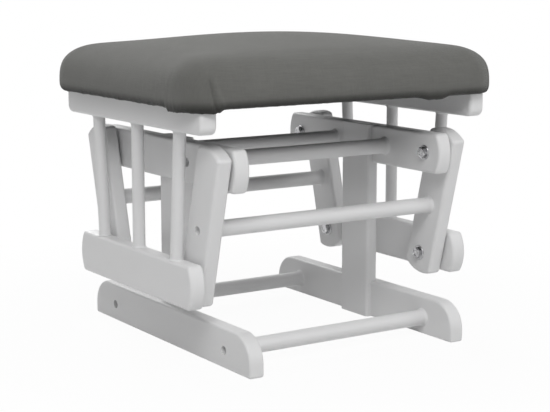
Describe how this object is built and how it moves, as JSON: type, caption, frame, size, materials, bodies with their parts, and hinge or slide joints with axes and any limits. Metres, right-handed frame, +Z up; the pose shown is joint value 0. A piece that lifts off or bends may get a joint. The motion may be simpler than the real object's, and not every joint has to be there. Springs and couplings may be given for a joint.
{
  "type": "glider ottoman",
  "caption": "Upholstered footrest on a painted wooden frame; its padded seat frame hangs from swinging links on a fixed base and glides front to back.",
  "frame": {"origin": "on the floor under the middle of the ottoman", "axes": "+X to the right, across the two runners; +Y to the back, along the runners and the glide; +Z up. The front is the -Y end."},
  "size_m": [0.457, 0.399, 0.3851],
  "materials": {
    "white_paint": "satin white paint over wood",
    "zinc_steel": "zinc plated",
    "bolt_steel": "bright nickel plate",
    "bush_metal": "plated flanged bush",
    "insert_brass": "turned brass",
    "plywood": "bare birch plywood",
    "dust_cloth": "black spun-bonded cambric",
    "foam": "open-cell foam",
    "seat_cloth": "dark grey plain-weave upholstery cloth"
  },
  "bodies": {
    "base": {"runner_left": "white_paint", "runner_right": "white_paint", "post_left": "white_paint", "post_right": "white_paint", "hanger_bar_left": "white_paint", "hanger_bar_right": "white_paint", "base_dowel_front": "white_paint", "base_dowel_rear": "white_paint", "hanger_dowel_front": "white_paint", "hanger_dowel_rear": "white_paint", "base_dowel_screws": "zinc_steel", "hanger_dowel_screws": "zinc_steel", "hanger_bushes": "bush_metal"},
    "front_links": {"front_link_left": "white_paint", "front_link_right": "white_paint", "front_link_dowel": "white_paint", "front_link_screws": "zinc_steel", "front_link_bushes": "bush_metal", "front_hanger_bolts": "bolt_steel", "front_hanger_spacers": "zinc_steel", "front_hanger_inserts": "insert_brass"},
    "rear_links": {"rear_link_left": "white_paint", "rear_link_right": "white_paint", "rear_link_dowel": "white_paint", "rear_link_screws": "zinc_steel", "rear_link_bushes": "bush_metal", "rear_hanger_bolts": "bolt_steel", "rear_hanger_spacers": "zinc_steel", "rear_hanger_inserts": "insert_brass"},
    "seat_frame": {"bottom_rail_left": "white_paint", "bottom_rail_right": "white_paint", "top_rail_left": "white_paint", "top_rail_right": "white_paint", "spindle_left_front": "white_paint", "spindle_left_middle": "white_paint", "spindle_left_rear": "white_paint", "spindle_right_front": "white_paint", "spindle_right_middle": "white_paint", "spindle_right_rear": "white_paint", "rail_bolts_front": "bolt_steel", "rail_bolts_rear": "bolt_steel", "rail_spacers": "zinc_steel", "rail_inserts": "insert_brass", "seat_board": "plywood", "seat_screws": "zinc_steel", "dust_cover": "dust_cloth", "seat_foam": "foam", "seat_cover": "seat_cloth"}
  },
  "joints": [
    {"name": "front_link_swing", "type": "hinge", "parent": "base", "child": "front_links", "pos_m": [0, -0.14, 0.2373], "axis": [1, 0, 0], "range_deg": [-12, 12]},
    {"name": "rear_link_swing", "type": "hinge", "parent": "base", "child": "rear_links", "pos_m": [0, 0.14, 0.2373], "axis": [1, 0, 0], "range_deg": [-12.2, 12.2]},
    {"name": "seat_frame_pivot", "type": "hinge", "parent": "front_links", "child": "seat_frame", "pos_m": [0, -0.1045, 0.099], "axis": [1, 0, 0], "range_deg": [-16.4, 16.4]}
  ],
  "couplings": [
    {"joint": "rear_link_swing", "follows": "front_link_swing", "ratio": 1},
    {"joint": "seat_frame_pivot", "follows": "front_link_swing", "ratio": -1.3397}
  ]
}
